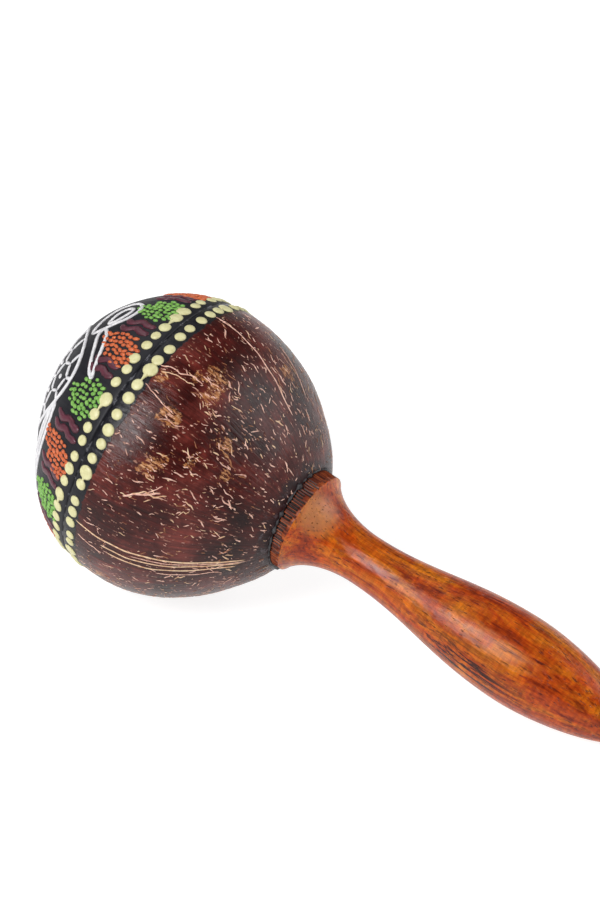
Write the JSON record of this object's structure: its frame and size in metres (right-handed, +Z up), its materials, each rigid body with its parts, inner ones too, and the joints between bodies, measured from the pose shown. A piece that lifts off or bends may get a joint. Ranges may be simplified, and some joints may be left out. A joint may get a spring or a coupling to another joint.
{
  "type": "coconut shell maraca",
  "caption": "Hand rattle: a hollow painted coconut-shell head with loose seeds inside, on a turned wooden handle with a flared seat and a swelling grip.",
  "frame": {"origin": "on the table, under the middle of the maraca's length as it lies at rest on its head and grip", "axes": "+Z up, +X towards the butt of the handle, which droops; the crown of the head is towards -X; XZ is the plane of symmetry"},
  "size_m": [0.189, 0.088, 0.0879],
  "materials": {
    "painted_shell": "coconut shell, black lacquer with raised painted dots and lines outside, bare inside",
    "coconut_shell": "dark reddish-brown coconut shell with tan flecks and fibres, clear gloss lacquer",
    "seam_glue": "dark hardened glue",
    "neck_filler": "dark grey hardened filler",
    "stained_wood": "turned wood, orange to red-brown stain under gloss lacquer",
    "seed": "dry brown seed"
  },
  "bodies": {
    "maraca": {"crown_shell": "painted_shell", "base_shell": "coconut_shell", "seam_glue": "seam_glue", "neck_filler": "neck_filler", "handle": "stained_wood"},
    "seed_01": {"seed_01": "seed"},
    "seed_02": {"seed_02": "seed"},
    "seed_03": {"seed_03": "seed"},
    "seed_04": {"seed_04": "seed"},
    "seed_05": {"seed_05": "seed"},
    "seed_06": {"seed_06": "seed"},
    "seed_07": {"seed_07": "seed"},
    "seed_08": {"seed_08": "seed"},
    "seed_09": {"seed_09": "seed"},
    "seed_10": {"seed_10": "seed"},
    "seed_11": {"seed_11": "seed"},
    "seed_12": {"seed_12": "seed"},
    "seed_13": {"seed_13": "seed"},
    "seed_14": {"seed_14": "seed"},
    "seed_15": {"seed_15": "seed"},
    "seed_16": {"seed_16": "seed"},
    "seed_17": {"seed_17": "seed"},
    "seed_18": {"seed_18": "seed"},
    "seed_19": {"seed_19": "seed"},
    "seed_20": {"seed_20": "seed"},
    "seed_21": {"seed_21": "seed"},
    "seed_22": {"seed_22": "seed"},
    "seed_23": {"seed_23": "seed"},
    "seed_24": {"seed_24": "seed"},
    "seed_25": {"seed_25": "seed"},
    "seed_26": {"seed_26": "seed"},
    "seed_27": {"seed_27": "seed"},
    "seed_28": {"seed_28": "seed"},
    "seed_29": {"seed_29": "seed"},
    "seed_30": {"seed_30": "seed"},
    "seed_31": {"seed_31": "seed"},
    "seed_32": {"seed_32": "seed"},
    "seed_33": {"seed_33": "seed"},
    "seed_34": {"seed_34": "seed"},
    "seed_35": {"seed_35": "seed"},
    "seed_36": {"seed_36": "seed"},
    "seed_37": {"seed_37": "seed"}
  },
  "joints": [
    {"name": "seed_hop_01", "type": "slide", "parent": "maraca", "child": "seed_01", "axis": [0, 0, 1], "range_m": [0, 0.074]},
    {"name": "seed_hop_02", "type": "slide", "parent": "maraca", "child": "seed_02", "axis": [0, 0, 1], "range_m": [0, 0.0723]},
    {"name": "seed_hop_03", "type": "slide", "parent": "maraca", "child": "seed_03", "axis": [0, 0, 1], "range_m": [0, 0.0736]},
    {"name": "seed_hop_04", "type": "slide", "parent": "maraca", "child": "seed_04", "axis": [0, 0, 1], "range_m": [0, 0.0741]},
    {"name": "seed_hop_05", "type": "slide", "parent": "maraca", "child": "seed_05", "axis": [0, 0, 1], "range_m": [0, 0.0736]},
    {"name": "seed_hop_06", "type": "slide", "parent": "maraca", "child": "seed_06", "axis": [0, 0, 1], "range_m": [0, 0.0723]},
    {"name": "seed_hop_07", "type": "slide", "parent": "maraca", "child": "seed_07", "axis": [0, 0, 1], "range_m": [0, 0.0715]},
    {"name": "seed_hop_08", "type": "slide", "parent": "maraca", "child": "seed_08", "axis": [0, 0, 1], "range_m": [0, 0.0684]},
    {"name": "seed_hop_09", "type": "slide", "parent": "maraca", "child": "seed_09", "axis": [0, 0, 1], "range_m": [0, 0.0709]},
    {"name": "seed_hop_10", "type": "slide", "parent": "maraca", "child": "seed_10", "axis": [0, 0, 1], "range_m": [0, 0.0725]},
    {"name": "seed_hop_11", "type": "slide", "parent": "maraca", "child": "seed_11", "axis": [0, 0, 1], "range_m": [0, 0.0725]},
    {"name": "seed_hop_12", "type": "slide", "parent": "maraca", "child": "seed_12", "axis": [0, 0, 1], "range_m": [0, 0.0709]},
    {"name": "seed_hop_13", "type": "slide", "parent": "maraca", "child": "seed_13", "axis": [0, 0, 1], "range_m": [0, 0.0684]},
    {"name": "seed_hop_14", "type": "slide", "parent": "maraca", "child": "seed_14", "axis": [0, 0, 1], "range_m": [0, 0.0683]},
    {"name": "seed_hop_15", "type": "slide", "parent": "maraca", "child": "seed_15", "axis": [0, 0, 1], "range_m": [0, 0.071]},
    {"name": "seed_hop_16", "type": "slide", "parent": "maraca", "child": "seed_16", "axis": [0, 0, 1], "range_m": [0, 0.0717]},
    {"name": "seed_hop_17", "type": "slide", "parent": "maraca", "child": "seed_17", "axis": [0, 0, 1], "range_m": [0, 0.071]},
    {"name": "seed_hop_18", "type": "slide", "parent": "maraca", "child": "seed_18", "axis": [0, 0, 1], "range_m": [0, 0.0683]},
    {"name": "seed_hop_19", "type": "slide", "parent": "maraca", "child": "seed_19", "axis": [0, 0, 1], "range_m": [0, 0.0662]},
    {"name": "seed_hop_20", "type": "slide", "parent": "maraca", "child": "seed_20", "axis": [0, 0, 1], "range_m": [0, 0.0613]},
    {"name": "seed_hop_21", "type": "slide", "parent": "maraca", "child": "seed_21", "axis": [0, 0, 1], "range_m": [0, 0.0627]},
    {"name": "seed_hop_22", "type": "slide", "parent": "maraca", "child": "seed_22", "axis": [0, 0, 1], "range_m": [0, 0.0659]},
    {"name": "seed_hop_23", "type": "slide", "parent": "maraca", "child": "seed_23", "axis": [0, 0, 1], "range_m": [0, 0.0673]},
    {"name": "seed_hop_24", "type": "slide", "parent": "maraca", "child": "seed_24", "axis": [0, 0, 1], "range_m": [0, 0.0686]},
    {"name": "seed_hop_25", "type": "slide", "parent": "maraca", "child": "seed_25", "axis": [0, 0, 1], "range_m": [0, 0.0687]},
    {"name": "seed_hop_26", "type": "slide", "parent": "maraca", "child": "seed_26", "axis": [0, 0, 1], "range_m": [0, 0.0687]},
    {"name": "seed_hop_27", "type": "slide", "parent": "maraca", "child": "seed_27", "axis": [0, 0, 1], "range_m": [0, 0.0686]},
    {"name": "seed_hop_28", "type": "slide", "parent": "maraca", "child": "seed_28", "axis": [0, 0, 1], "range_m": [0, 0.0673]},
    {"name": "seed_hop_29", "type": "slide", "parent": "maraca", "child": "seed_29", "axis": [0, 0, 1], "range_m": [0, 0.0659]},
    {"name": "seed_hop_30", "type": "slide", "parent": "maraca", "child": "seed_30", "axis": [0, 0, 1], "range_m": [0, 0.0627]},
    {"name": "seed_hop_31", "type": "slide", "parent": "maraca", "child": "seed_31", "axis": [0, 0, 1], "range_m": [0, 0.0613]},
    {"name": "seed_hop_32", "type": "slide", "parent": "maraca", "child": "seed_32", "axis": [0, 0, 1], "range_m": [0, 0.0616]},
    {"name": "seed_hop_33", "type": "slide", "parent": "maraca", "child": "seed_33", "axis": [0, 0, 1], "range_m": [0, 0.066]},
    {"name": "seed_hop_34", "type": "slide", "parent": "maraca", "child": "seed_34", "axis": [0, 0, 1], "range_m": [0, 0.0666]},
    {"name": "seed_hop_35", "type": "slide", "parent": "maraca", "child": "seed_35", "axis": [0, 0, 1], "range_m": [0, 0.066]},
    {"name": "seed_hop_36", "type": "slide", "parent": "maraca", "child": "seed_36", "axis": [0, 0, 1], "range_m": [0, 0.0616]},
    {"name": "seed_hop_37", "type": "slide", "parent": "maraca", "child": "seed_37", "axis": [0, 0, 1], "range_m": [0, 0.0572]}
  ]
}
